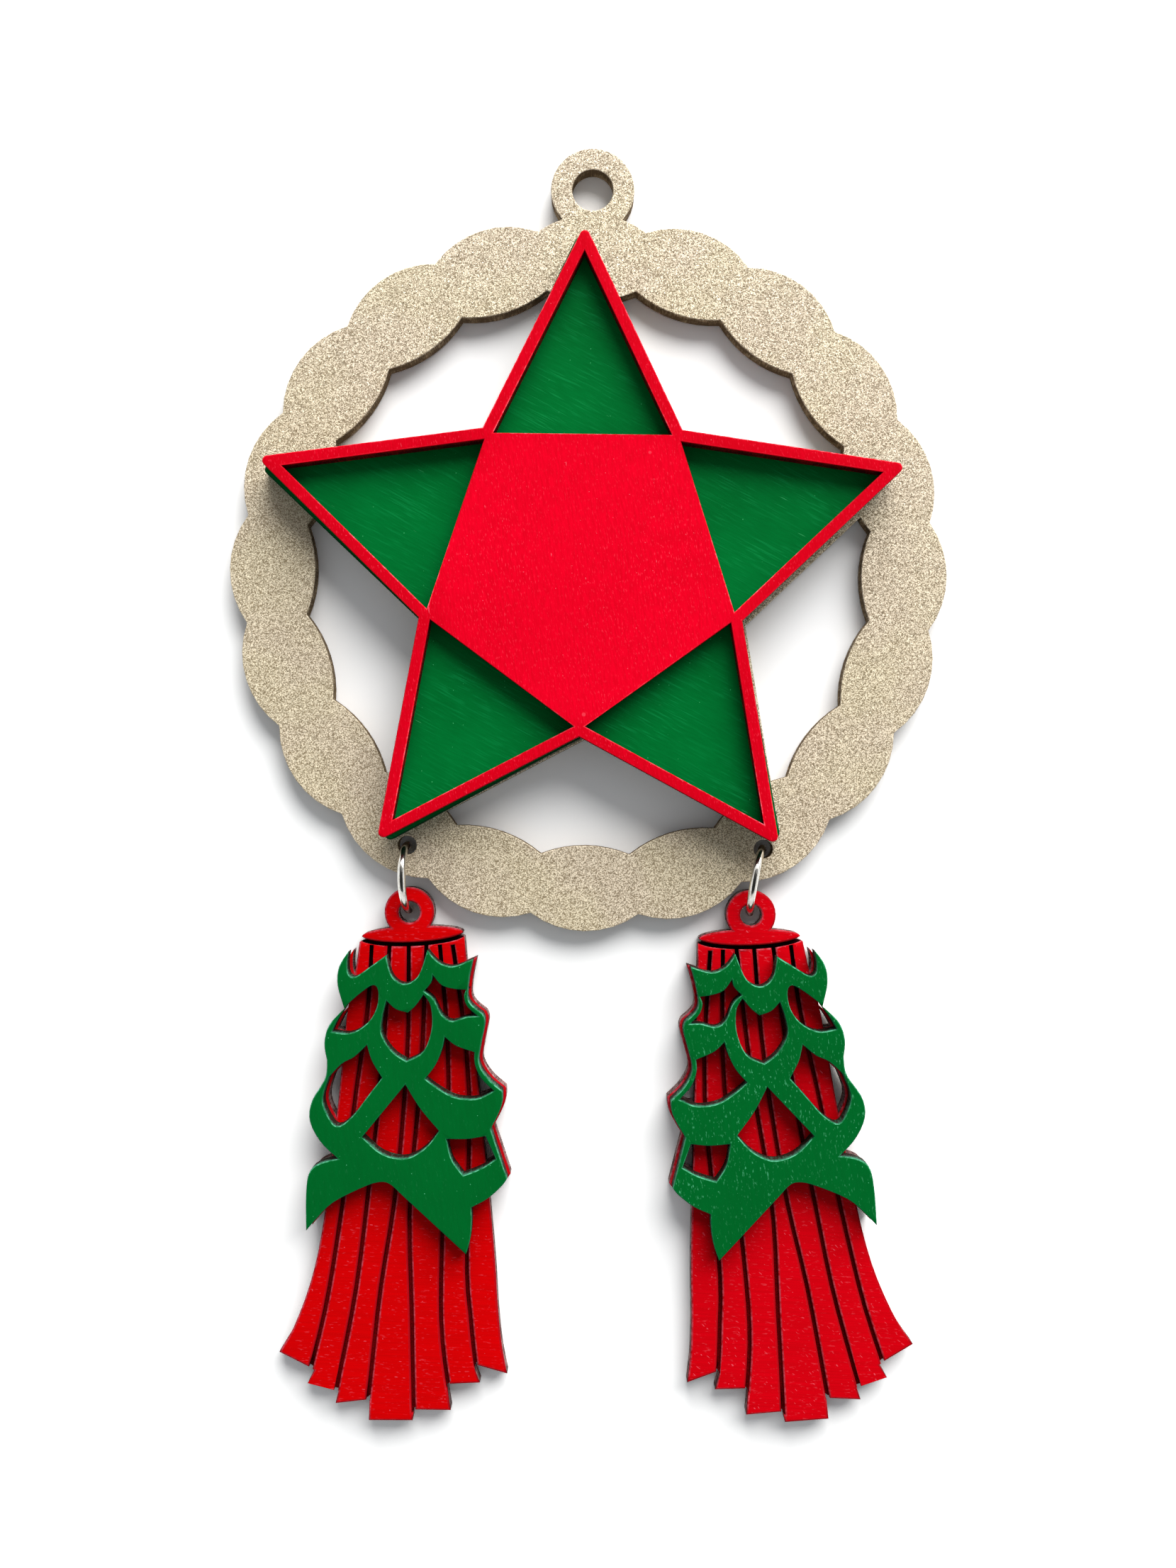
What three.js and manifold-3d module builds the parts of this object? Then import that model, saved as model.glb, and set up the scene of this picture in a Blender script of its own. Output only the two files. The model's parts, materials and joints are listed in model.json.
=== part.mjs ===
// Parol ornament: a painted plywood star in a beaded ring, with two tassels hung on jump rings.
// Millimetres, +Z up, the front faces -Y and the origin is the centre of the hanger hole.
// Flat pieces are drawn in a plane with x to the right, y up and z towards the viewer.

import * as THREE from 'three';
import { mergeVertices } from 'three/addons/utils/BufferGeometryUtils.js';
import Module from 'manifold-3d';

const wasm = await Module();
wasm.setup();

// Plywood sheet that every flat piece is cut from
const PLY = 3;

// Beaded ring
const BEADS = 20;
const RING_RADIUS = 44.55;
const BEAD_WIDTH = 12.1;
const OUTER_NOTCH = 1.9;
const INNER_NOTCH = 1.7;

// Hanger loop on top of the ring
const HANGER_RADIUS = 5.9;
const HANGER_HOLE_RADIUS = 2.9;
const HANGER_SINK = 2.5;

// Five-point star, cut three times and glued in a stack
const STAR_POINTS = 5;
const STAR_REACH = 2.6;
const STAR_VALLEY_RADIUS = 23.4;
const TIP_ROUNDING = 0.7;
const FRAME_BORDER = 1.6;
const PENTAGON_INSET = 0.7;
const STAR_SHIFT = [-1, 0.1];
const PANEL_TURN = 0.9;

// Holes in the ring that carry the tassels
const TASSEL_HOLE_RADIUS = 1.35;
const TASSEL_HOLE_RIM = 3.1;
const TASSEL_HOLE_ANGLE = 33;

// Jump rings
const WIRE = 1.2;
const HANG_GAP = 0.45;
const LOOP_CLEARANCE = 1.5;
const SPLIT_GAP = 0.25;

// Tassel plate
const LOOP_RADIUS = 3.5;
const LOOP_HOLE_RADIUS = 1.55;
const CAP_WIDTH = 14.3;
const CAP_HEIGHT = 2.3;
const CAP_DROP = 3.15;
const CAP_OFFSET = 0.3;
const SHOULDER_STEP = 0.5;
const TASSEL_LENGTH = 68.55;
const GROOVE_WIDTH = 0.55;
const GROOVE_DEPTH = 1.2;
const OVERLAY_SLIP = 0.35;

// How each tassel hangs, in degrees; a lean is positive when the lower end goes outwards
const SIDES = [
  { name: 'left', side: -1, ringLean: -2.5, ringTwist: -7.5, splitTurn: 30, tasselLean: -3.2 },
  { name: 'right', side: 1, ringLean: -10, ringTwist: -9.5, splitTurn: -150, tasselLean: 2.3 },
];

// Steps along a curve, a full circle and the wire of a jump ring
const CURVE_STEPS = 3;
const BEAD_STEPS = 4;
const CIRCLE_STEPS = 16;
const WIRE_STEPS = 44;
const WIRE_SIDES = 10;

// The tassel drawing starts at the middle of the cap: x grows outwards and y upwards.
// It is drawn at its usual size: CAP_WIDTH scales it across and TASSEL_LENGTH along.
// Outer edge of the strands, from the cap to the lowest outside corner
const OUTER_EDGE = [
  [7.5, -0.75], [8.35, -5.15], [9.8, -11.35], [11.6, -23.75], [13.9, -37.65], [16, -46.75],
  [18.9, -54.05], [21.4, -58.05],
];

// Lower end of each strand: outside corner, inside corner and the foot of the groove beside it
const STRAND_ENDS = [
  [[21.4, -58.05], [17.1, -60.45], [16.6, -60.85]],
  [[17.6, -62.65], [14, -63.75], [13.3, -63.95]],
  [[13.8, -65.65], [9.4, -65.35], [8.95, -65.05]],
  [[9.2, -68.25], [3.05, -68.55], [2.85, -67.15]],
  [[2.6, -67.05], [-2.4, -67.35], [-2, -64.05]],
  [[-2.5, -63.65], [-6.7, -63.65], [-6, -61.55]],
  [[-6.25, -61.1], [-10.6, -62.55]],
];

// Inner edge of the strands, from the last corner back up to the cap
const INNER_EDGE = [
  [-10, -58.35], [-9.7, -52.85], [-9.6, -46.85], [-9.2, -37.65], [-7.7, -8.85], [-7.3, -0.65],
];

// Shoulders tucked under the cap
const SHOULDERS = [[-6.7, -0.55], [6.9, -0.55]];

// Engraved grooves between the strands
const GROOVES = [
  [[5.8, -1.25], [6.8, -10.35], [9.1, -22.65], [11.5, -37.05], [14.3, -50.85], [17.1, -60.65]],
  [[3.3, -1.35], [5.2, -18.85], [7.8, -35.65], [10.3, -50.15], [13.7, -64.05]],
  [[0.6, -1.45], [1.5, -16.85], [3.9, -35.65], [6.8, -50.15], [9.2, -65.45]],
  [[-1.9, -1.55], [-0.3, -19.85], [2.05, -37.85], [2.5, -53.85], [2.85, -67.45]],
  [[-3.8, -1.65], [-4.2, -19.85], [-2.3, -42.85], [-1.6, -55.35], [-2.2, -64.05]],
  [[-5.6, -1.75], [-7, -20.85], [-5.6, -45.85], [-5.8, -54.85], [-6.2, -61.45]],
];

// Leaf overlay: each row is one smooth stretch, and the corner between two rows stays sharp
const LEAF_EDGE = [
  [[9.6, -9.65]],
  [[10.4, -6.45], [10.1, -3.85], [8.7, -1.75]],
  [[8.95, -3.45], [8.8, -4.95], [7.9, -5.35], [5.8, -4.05], [3.5, -2.55]],
  [[2.8, -5.45], [1.1, -6.65], [-0.9, -5.55], [-2.3, -2.05]],
  [[-3.7, -3.75], [-5.7, -4.5], [-8.6, -3.6]],
  [[-7.8, -7.05], [-7.8, -9.45], [-9.6, -11.25]],
  [[-9.9, -12.45], [-9.2, -15.45], [-8.8, -18.05], [-10, -20.35], [-11.9, -22.15]],
  [[-11.8, -23.75], [-11.1, -25.45], [-10, -27.35]],
  [[-12, -34.35]],
  [[-11.1, -35.45], [-9.1, -37.05], [-6.8, -38.15]],
  [[-6.8, -40.05], [-6.5, -42.45], [-5.8, -44.65]],
  [[2.9, -35.85]],
  [[4.3, -34.45], [5.6, -34.05], [7.8, -34.55], [12.3, -36.55], [14.8, -38.75], [16.3, -40.35]],
  [[16.1, -35.35], [15.5, -32.25], [13.9, -31.05], [11.4, -30.55]],
  [[13.7, -28.15], [15.1, -25.15], [14.7, -22.35], [12.7, -19.25], [12.35, -16.75]],
  [[12.6, -14.35], [11.8, -11.85], [9.6, -9.65]],
];

// Openings between the leaves, from the top down
const LEAF_WINDOWS = [
  [
    [[9.3, -9.25]],
    [[7.3, -7.65], [5.5, -6.6], [4.8, -7.45], [5.1, -9.75], [6.5, -11.85], [8.9, -13.15], [11.5, -12.85]],
    [[10.7, -11.35], [9.3, -9.25]],
  ],
  [
    [[-2.9, -5.55]],
    [[-4.1, -7.05], [-5.9, -7.65], [-7.45, -7.8]],
    [[-7.1, -8.75], [-7.5, -10.15], [-8.9, -11.55]],
    [[-7.3, -11.6], [-5.3, -12.1], [-3.9, -11.15], [-2.9, -8.95], [-1.6, -7.75]],
    [[-2.6, -6.65], [-2.9, -5.55]],
  ],
  [
    [[3.7, -8.85]],
    [[2.5, -10.05], [0.8, -10.65]],
    [[-0.3, -9.75], [-1.5, -8.25]],
    [[-2.4, -9.85], [-2.4, -13.05], [-1.1, -16.15], [1.3, -17.4]],
    [[3.2, -15.95], [4.6, -13.45], [4.4, -11.15], [3.7, -8.85]],
  ],
  [
    [[6.7, -14.9]],
    [[6.1, -17.15], [4.8, -19.55]],
    [[7, -22.15], [9.1, -24.65], [11.2, -26.05], [12.4, -24.85], [13.2, -22.25], [12.2, -19.15]],
    [[10.3, -17.35], [8.5, -16.45], [6.7, -14.9]],
  ],
  [
    [[-4.2, -14.25]],
    [[-5.7, -15.55], [-8.2, -16.55]],
    [[-8.2, -18.25], [-9, -20.25], [-10.7, -22.05]],
    [[-8.3, -23.05], [-5.3, -22.75], [-2.9, -21.35], [-1.2, -19.95]],
    [[-2.7, -18.15], [-3.7, -16.05], [-4.2, -14.25]],
  ],
  [
    [[1.6, -20.65]],
    [[-0.3, -24.05], [-2.8, -27.3]],
    [[-0.7, -29.65], [2.2, -30.95], [5.4, -30.05], [7.9, -27.65]],
  ],
  [
    [[-3.8, -28.45]],
    [[-6.7, -28.6], [-9.25, -28.3]],
    [[-10.55, -31.55]],
    [[-8.5, -32.75], [-5.9, -33.65]],
    [[-4.4, -31.35], [-3.8, -28.45]],
  ],
];

// Sizes that follow from the ones above
const BEAD_CROWN = RING_RADIUS + BEAD_WIDTH / 2;
const BEAD_INSIDE = RING_RADIUS - BEAD_WIDTH / 2;
const HANGER_RISE = BEAD_CROWN + HANGER_RADIUS - HANGER_SINK;
const STAR_TIP_RADIUS = RING_RADIUS + STAR_REACH;
const TASSEL_HOLE_REACH = BEAD_CROWN - TASSEL_HOLE_RIM - TASSEL_HOLE_RADIUS;
const RIM_SPAN = TASSEL_HOLE_RIM + LOOP_CLEARANCE + LOOP_RADIUS - LOOP_HOLE_RADIUS;
const WIRE_RADIUS = Math.hypot(RIM_SPAN / 2 + HANG_GAP, PLY / 2) + WIRE / 2;
const RING_DROP = TASSEL_HOLE_RADIUS + RIM_SPAN / 2;
const TASSEL_DROP = TASSEL_HOLE_RADIUS + RIM_SPAN + LOOP_HOLE_RADIUS;
const DRAWN_LENGTH = -Math.min(...STRAND_ENDS.flat().map(([, y]) => y));
const LENGTH_SCALE = TASSEL_LENGTH / DRAWN_LENGTH;
const DRAWN_WIDTH = OUTER_EDGE[0][0] - INNER_EDGE.at(-1)[0];
const WIDTH_SCALE = (CAP_WIDTH + SHOULDER_STEP) / DRAWN_WIDTH;
const BACK = -PLY / 2;
const FRONT = PLY / 2;

const { degToRad } = THREE.MathUtils;

// A closed mesh as a solid that can be joined and cut
function solid(geometry) {
  geometry.deleteAttribute('normal');
  geometry.deleteAttribute('uv');
  const merged = mergeVertices(geometry);
  return new wasm.Manifold(new wasm.Mesh({
    numProp: 3,
    vertProperties: merged.attributes.position.array,
    triVerts: new Uint32Array(merged.index.array),
  }));
}

// An outline cut out of sheet between two depths
function sheet(shape, back, front, curveSegments = CURVE_STEPS) {
  const depth = front - back;
  const geometry = new THREE.ExtrudeGeometry(shape, { depth, bevelEnabled: false, curveSegments });
  return solid(geometry.translate(0, 0, back));
}

// A finished solid as a named mesh
function piece(name, body, material) {
  const { vertProperties, triVerts } = body.getMesh();
  const geometry = new THREE.BufferGeometry();
  geometry.setAttribute('position', new THREE.BufferAttribute(vertProperties, 3));
  geometry.setIndex(new THREE.BufferAttribute(triVerts, 1));
  const mesh = new THREE.Mesh(geometry, material);
  mesh.name = name;
  return mesh;
}

function paint(color, roughness, metalness) {
  return new THREE.MeshStandardMaterial({ color, roughness, metalness });
}

function disc(x, y, radius) {
  return new THREE.Shape().absarc(x, y, radius, 0, 2 * Math.PI, false);
}

// One side of the beaded ring: an arc over each bead, between two notches
function beadedEdge(path, crown, notch) {
  const halfPitch = Math.PI / BEADS;
  const halfChord = notch * Math.sin(halfPitch);
  const bulge = crown - notch * Math.cos(halfPitch);
  const radius = (halfChord ** 2 + bulge ** 2) / (2 * Math.abs(bulge));
  const outwards = bulge > 0;
  const reach = outwards ? crown - radius : crown + radius;
  const spread = Math.asin(halfChord / radius);
  for (let bead = 0; bead < BEADS; bead += 1) {
    const axis = 2 * halfPitch * bead + (outwards ? 0 : Math.PI);
    const centre = 2 * halfPitch * bead;
    const start = outwards ? axis - spread : axis + spread;
    const end = outwards ? axis + spread : axis - spread;
    path.absarc(reach * Math.cos(centre), reach * Math.sin(centre), radius, start, end, !outwards);
  }
  return path;
}

function starPoint(radius, angle) {
  return new THREE.Vector2(radius * Math.cos(angle), radius * Math.sin(angle));
}

// Half of the angle at a star tip
function tipHalfAngle() {
  const valley = starPoint(STAR_VALLEY_RADIUS, Math.PI / STAR_POINTS);
  return Math.atan2(valley.y, STAR_TIP_RADIUS - valley.x);
}

function tipAngle(index) {
  return Math.PI / 2 + (2 * Math.PI * index) / STAR_POINTS;
}

function starOutline() {
  const half = tipHalfAngle();
  const shape = new THREE.Shape();
  for (let tip = 0; tip < STAR_POINTS; tip += 1) {
    const angle = tipAngle(tip);
    const centre = starPoint(STAR_TIP_RADIUS - TIP_ROUNDING / Math.sin(half), angle);
    const spread = Math.PI / 2 - half;
    const valley = starPoint(STAR_VALLEY_RADIUS, angle + Math.PI / STAR_POINTS);
    shape.absarc(centre.x, centre.y, TIP_ROUNDING, angle - spread, angle + spread, false);
    shape.lineTo(valley.x, valley.y);
  }
  return shape;
}

// Triangular window in one point of the star frame, with its base on the pentagon
function starWindow(index) {
  const half = tipHalfAngle();
  const apex = STAR_TIP_RADIUS - FRAME_BORDER / Math.sin(half);
  const base = STAR_VALLEY_RADIUS * Math.cos(Math.PI / STAR_POINTS) - PENTAGON_INSET;
  const width = (apex - base) * Math.tan(half);
  const corners = [[apex, 0], [base, width], [base, -width]].map(([x, y]) => new THREE.Vector2(x, y));
  const middle = new THREE.Vector2();
  return new THREE.Path(corners.map((corner) => corner.rotateAround(middle, tipAngle(index))));
}

// The gold plate: beaded ring, star backing and hanger loop in one piece
function basePlate() {
  const ring = beadedEdge(new THREE.Shape(), BEAD_CROWN, BEAD_CROWN - OUTER_NOTCH);
  ring.holes.push(beadedEdge(new THREE.Path(), BEAD_INSIDE, BEAD_INSIDE + INNER_NOTCH));
  const plate = sheet(ring, BACK, FRONT, BEAD_STEPS)
    .add(sheet(starOutline(), BACK, FRONT))
    .add(sheet(disc(0, HANGER_RISE, HANGER_RADIUS), BACK, FRONT, CIRCLE_STEPS));
  const holes = SIDES.map(({ side }) => {
    const { x, y } = tasselHole(side);
    return sheet(disc(x, y, TASSEL_HOLE_RADIUS), BACK - PLY, FRONT + PLY, CIRCLE_STEPS / 2);
  });
  holes.push(sheet(disc(0, HANGER_RISE, HANGER_HOLE_RADIUS), BACK - PLY, FRONT + PLY, CIRCLE_STEPS));
  return holes.reduce((body, hole) => body.subtract(hole), plate);
}

function tasselHole(side) {
  return starPoint(TASSEL_HOLE_REACH, -Math.PI / 2 + side * degToRad(TASSEL_HOLE_ANGLE));
}

function starFrame() {
  const shape = starOutline();
  for (let tip = 0; tip < STAR_POINTS; tip += 1) {
    shape.holes.push(starWindow(tip));
  }
  return sheet(shape, BACK, FRONT);
}

// Centre line of a jump ring, which stands edge-on to the plates and is split near its top
class RingWire extends THREE.Curve {
  constructor(splitTurn) {
    super();
    this.start = degToRad(splitTurn) + SPLIT_GAP / WIRE_RADIUS / 2;
    this.sweep = 2 * Math.PI - SPLIT_GAP / WIRE_RADIUS;
  }

  getPoint(t) {
    const angle = this.start + t * this.sweep;
    return new THREE.Vector3(0, WIRE_RADIUS * Math.cos(angle), WIRE_RADIUS * Math.sin(angle));
  }
}

function jumpRing(splitTurn) {
  const section = disc(0, 0, WIRE / 2);
  const extrudePath = new RingWire(splitTurn);
  return solid(new THREE.ExtrudeGeometry(section, {
    extrudePath,
    steps: WIRE_STEPS,
    curveSegments: WIRE_SIDES / 2,
  }));
}

// A point of the tassel drawing, on the left or the right tassel
function drawn([x, y], side, slip = 0) {
  return new THREE.Vector2(side * (x * WIDTH_SCALE - CAP_OFFSET - slip), y * LENGTH_SCALE - CAP_DROP);
}

// A closed outline made of smooth stretches between sharp corners, the same way round on both sides
function stretches(rows, side, slip) {
  const path = new THREE.Path();
  rows.forEach((row, index) => {
    const points = row.map((point) => drawn(point, side, slip));
    if (index === 0) {
      path.moveTo(points[0].x, points[0].y);
    } else if (points.length === 1) {
      path.lineTo(points[0].x, points[0].y);
    } else {
      path.splineThru(points);
    }
  });
  const edge = path.getPoints(CURVE_STEPS);
  return side > 0 ? edge : edge.reverse();
}

function leafOutline(side, slip) {
  const shape = new THREE.Shape(stretches(LEAF_EDGE, side, slip));
  shape.holes = LEAF_WINDOWS.map((rows) => new THREE.Path(stretches(rows, side, slip)));
  return shape;
}

function strandOutline(side) {
  const ends = STRAND_ENDS.flat().slice(1).map((corner) => [corner]);
  const shoulders = SHOULDERS.map((corner) => [corner]);
  const rows = [[OUTER_EDGE[0]], OUTER_EDGE.slice(1), ...ends, INNER_EDGE, ...shoulders];
  return new THREE.Shape(stretches(rows, side));
}

function capOutline(side) {
  const { x, y } = drawn([0, 0], side);
  return new THREE.Shape().absellipse(x, y, CAP_WIDTH / 2, CAP_HEIGHT / 2, 0, 2 * Math.PI);
}

// A groove of even width along a curve
function groove(curve, steps) {
  const left = [];
  const right = [];
  for (let step = 0; step <= steps; step += 1) {
    const point = curve.getPoint(step / steps);
    const tangent = curve.getTangent(step / steps);
    const offset = new THREE.Vector2(-tangent.y, tangent.x).multiplyScalar(GROOVE_WIDTH / 2);
    left.push(point.clone().add(offset));
    right.unshift(point.clone().sub(offset));
  }
  return sheet(new THREE.Shape([...left, ...right]), FRONT - GROOVE_DEPTH, FRONT + PLY);
}

// Engraving on a tassel plate: one groove under the cap and one between each two strands
function engraving(side) {
  const { x, y } = drawn([0, 0], side);
  const halfWidth = (CAP_WIDTH + GROOVE_WIDTH) / 2;
  const halfHeight = (CAP_HEIGHT + GROOVE_WIDTH) / 2;
  const underCap = new THREE.EllipseCurve(x, y, halfWidth, halfHeight, Math.PI, 2 * Math.PI);
  const strands = GROOVES.map((row) => new THREE.SplineCurve(row.map((point) => drawn(point, side))));
  const cuts = strands.map((curve) => groove(curve, CURVE_STEPS * curve.points.length));
  return cuts.reduce((all, cut) => all.add(cut), groove(underCap, CIRCLE_STEPS));
}

function tasselPlate(side) {
  const loopHole = sheet(disc(0, 0, LOOP_HOLE_RADIUS), BACK - PLY, FRONT + PLY, CIRCLE_STEPS / 2);
  return sheet(strandOutline(side), BACK, FRONT)
    .add(sheet(leafOutline(side, OVERLAY_SLIP), BACK, FRONT))
    .add(sheet(capOutline(side), BACK, FRONT, CIRCLE_STEPS))
    .add(sheet(disc(0, 0, LOOP_RADIUS), BACK, FRONT, CIRCLE_STEPS))
    .subtract(engraving(side))
    .subtract(loopHole);
}

// The drawing plane, turned upright, with the hanger hole at the origin
const ornament = new THREE.Group();
ornament.rotation.x = Math.PI / 2;
const ringCentre = new THREE.Group();
ringCentre.position.y = -HANGER_RISE;
ornament.add(ringCentre);
ringCentre.add(piece('base_plate', basePlate(), paint(0xb6a487, 0.5, 0.6)));

// The green and red stars are glued a little off the gold one
const stars = new THREE.Group();
stars.position.set(STAR_SHIFT[0], STAR_SHIFT[1], 0);
ringCentre.add(stars);
const starPanel = piece('star_panel', sheet(starOutline(), BACK, FRONT), paint(0x006a2c, 0.5, 0));
starPanel.position.z = PLY;
starPanel.rotation.z = degToRad(PANEL_TURN);
stars.add(starPanel);
const frame = piece('star_frame', starFrame(), paint(0xd8041c, 0.45, 0));
frame.position.z = 2 * PLY;
stars.add(frame);

// Each tassel hangs on a jump ring from its hole in the beaded ring
for (const { name, side, ringLean, ringTwist, splitTurn, tasselLean } of SIDES) {
  const hole = tasselHole(side);
  const chain = new THREE.Group();
  chain.position.set(hole.x, hole.y, 0);
  chain.rotation.z = side * degToRad(ringLean);
  ringCentre.add(chain);
  const ring = piece(`jump_ring_${name}`, jumpRing(splitTurn), paint(0xc9ccd0, 0.15, 1));
  ring.position.y = -RING_DROP;
  ring.rotation.y = degToRad(ringTwist);
  chain.add(ring);

  const tassel = new THREE.Group();
  tassel.position.y = -TASSEL_DROP;
  tassel.rotation.z = side * degToRad(tasselLean - ringLean);
  chain.add(tassel);
  tassel.add(piece(`tassel_plate_${name}`, tasselPlate(side), paint(0xb80410, 0.5, 0)));
  const leaves = sheet(leafOutline(side), BACK, FRONT);
  const overlay = piece(`tassel_overlay_${name}`, leaves, paint(0x006b2a, 0.5, 0));
  overlay.position.z = PLY;
  tassel.add(overlay);
}

export default ornament;
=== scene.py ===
# %% [markdown]
# # A parol ornament in painted plywood
# A parol is a star lantern that is hung up at Christmas. This one is flat: sheets of thin plywood
# are cut to shape, painted, and glued in a stack, and two tassels swing below on wire rings.
# The shapes come from a packed CAD model, which stays the frame of everything here. The lesson is
# about looks: rounding the cut rims, and giving glitter, brushed paint and scorched wood a finish.
# Blender counts in metres, so a small length is written as millimetres times MM. Numbers in the
# finishes are plain millimetres.

# %% Load the packed model
import json
import math

import bmesh
import bpy
from mathutils import Matrix, Vector
from mathutils.geometry import delaunay_2d_cdt


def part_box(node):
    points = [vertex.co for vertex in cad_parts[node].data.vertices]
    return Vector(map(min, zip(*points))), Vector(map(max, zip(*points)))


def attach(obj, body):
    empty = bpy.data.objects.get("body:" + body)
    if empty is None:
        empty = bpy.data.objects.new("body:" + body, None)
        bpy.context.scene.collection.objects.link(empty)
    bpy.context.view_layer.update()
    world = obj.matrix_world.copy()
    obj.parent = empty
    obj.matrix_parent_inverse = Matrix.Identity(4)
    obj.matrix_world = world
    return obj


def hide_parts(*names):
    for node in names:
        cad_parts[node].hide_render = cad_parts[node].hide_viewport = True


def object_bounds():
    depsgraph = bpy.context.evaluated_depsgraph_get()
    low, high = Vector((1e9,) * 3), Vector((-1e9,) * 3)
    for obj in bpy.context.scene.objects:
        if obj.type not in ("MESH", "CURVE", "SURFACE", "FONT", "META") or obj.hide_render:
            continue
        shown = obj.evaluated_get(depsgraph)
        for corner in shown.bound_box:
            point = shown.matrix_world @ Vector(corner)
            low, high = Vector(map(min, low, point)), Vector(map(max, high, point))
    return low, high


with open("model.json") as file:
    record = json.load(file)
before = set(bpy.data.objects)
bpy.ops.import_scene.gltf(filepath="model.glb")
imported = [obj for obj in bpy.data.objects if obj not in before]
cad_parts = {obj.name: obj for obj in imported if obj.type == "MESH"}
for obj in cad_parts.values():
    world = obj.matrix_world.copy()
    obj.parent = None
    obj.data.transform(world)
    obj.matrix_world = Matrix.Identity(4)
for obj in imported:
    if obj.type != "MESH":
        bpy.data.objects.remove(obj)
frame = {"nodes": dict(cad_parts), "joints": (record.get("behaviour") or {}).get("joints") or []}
cad_low, cad_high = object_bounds()
MM = 0.001
print("nodes:", sorted(frame["nodes"]))
print("size in mm:", [round(side / MM, 1) for side in cad_high - cad_low])

# %% [markdown]
# ## Where the camera stands
# The ornament was seen from straight in front, close by, so things nearer to the camera look a little
# larger. A camera could be placed by eye and moved until the picture looks right. Here it is worked
# out, so that nothing is left to taste. How much of the cut edges shows tells the distance. With it,
# ten pixels to a millimetre at the gold plate give the lens, and the pixel at the ring's middle gives
# the place. The ornament is turned by a small angle in the picture, and that is the roll.

# %% Camera
PICTURE_WIDTH, PICTURE_HEIGHT = 1659, 2212
PIXELS_PER_MM = 10.0
CAMERA_DISTANCE = 230 * MM
CAMERA_ROLL = math.radians(0.65)
RING_PIXEL = (830, 808)
SENSOR = 36.0
NEAREST_SEEN = 10 * MM


def add_object(name, data):
    """A new object, put into the scene."""
    made = bpy.data.objects.new(name, data)
    bpy.context.scene.collection.objects.link(made)
    return made


plate_low, plate_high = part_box("base_plate")
ring_radius = (plate_high.x - plate_low.x) / 2
ring_middle = Vector((0, plate_low.y, plate_low.z + ring_radius))

picture_right = Vector((math.cos(CAMERA_ROLL), 0, math.sin(CAMERA_ROLL)))
picture_up = Vector((-math.sin(CAMERA_ROLL), 0, math.cos(CAMERA_ROLL)))
away = Vector((0, 1, 0))
offset_right = (RING_PIXEL[0] - PICTURE_WIDTH / 2) / PIXELS_PER_MM * MM
offset_up = (PICTURE_HEIGHT / 2 - RING_PIXEL[1]) / PIXELS_PER_MM * MM
camera_spot = ring_middle - offset_right * picture_right - offset_up * picture_up
camera_spot -= CAMERA_DISTANCE * away

camera_data = bpy.data.cameras.new("camera")
camera_data.sensor_width = SENSOR
camera_data.lens = SENSOR * PIXELS_PER_MM * CAMERA_DISTANCE / MM / PICTURE_HEIGHT
camera_data.clip_start = NEAREST_SEEN
camera = add_object("camera", camera_data)
turn = Matrix((picture_right, picture_up, -away)).transposed()
camera.matrix_world = Matrix.Translation(camera_spot) @ turn.to_4x4()
bpy.context.scene.camera = camera
bpy.context.scene.view_settings.view_transform = "Standard"
print("camera at", [round(part / MM, 1) for part in camera_spot], "mm")
print("lens", round(camera_data.lens, 2), "mm")

# %% [markdown]
# ## Writing shaders as sums
# A finish is a web of nodes, and a web is hard to read as text. It could be wired up link by link, but
# it reads better as arithmetic. `Value` stands for one output of a node, and adding or multiplying two
# of them adds a Math node. `Web` holds the nodes of one material or of the world. Its `node` method
# makes any other node: first its settings, then what goes into its sockets.


# %% A value in a web
class Value:
    """One output socket. Python's operators on it add Math nodes."""

    def __init__(self, web, socket):
        self.web = web
        self.socket = socket

    def math(self, operation, first, second):
        return self.web.node("ShaderNodeMath", {"operation": operation}, {0: first, 1: second})

    def __add__(self, other):
        return self.math("ADD", self, other)

    def __radd__(self, other):
        return self.math("ADD", other, self)

    def __sub__(self, other):
        return self.math("SUBTRACT", self, other)

    def __rsub__(self, other):
        return self.math("SUBTRACT", other, self)

    def __mul__(self, other):
        return self.math("MULTIPLY", self, other)

    def __rmul__(self, other):
        return self.math("MULTIPLY", other, self)

    def __mod__(self, other):
        return self.math("FLOORED_MODULO", self, other)

    def __rmod__(self, other):
        return self.math("FLOORED_MODULO", other, self)


print("operators on a value:", [name for name in vars(Value) if name.startswith("__r")])


# %% A web of nodes
class Web:
    """The nodes of one material or world."""

    def __init__(self, owner):
        owner.use_nodes = True
        self.owner = owner
        self.tree = owner.node_tree
        self.tree.nodes.clear()

    def node(self, kind, settings=None, inputs=None, output=0):
        made = self.tree.nodes.new(kind)
        for key, value in (settings or {}).items():
            setattr(made, key, value)
        for key, value in (inputs or {}).items():
            if isinstance(value, Value):
                self.tree.links.new(value.socket, made.inputs[key])
            else:
                made.inputs[key].default_value = value
        return None if output is None else Value(self, made.outputs[output])

    def mix(self, amount, first, second):
        """From the first colour to the second. Sockets 6 and 7 and output 2 are the colour ones."""
        return self.node("ShaderNodeMix", {"data_type": "RGBA"}, {0: amount, 6: first, 7: second}, 2)

    def vector(self, operation, inputs, output=0):
        return self.node("ShaderNodeVectorMath", {"operation": operation}, inputs, output)


print("a web has", [name for name in vars(Web) if not name.startswith("_")])

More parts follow.
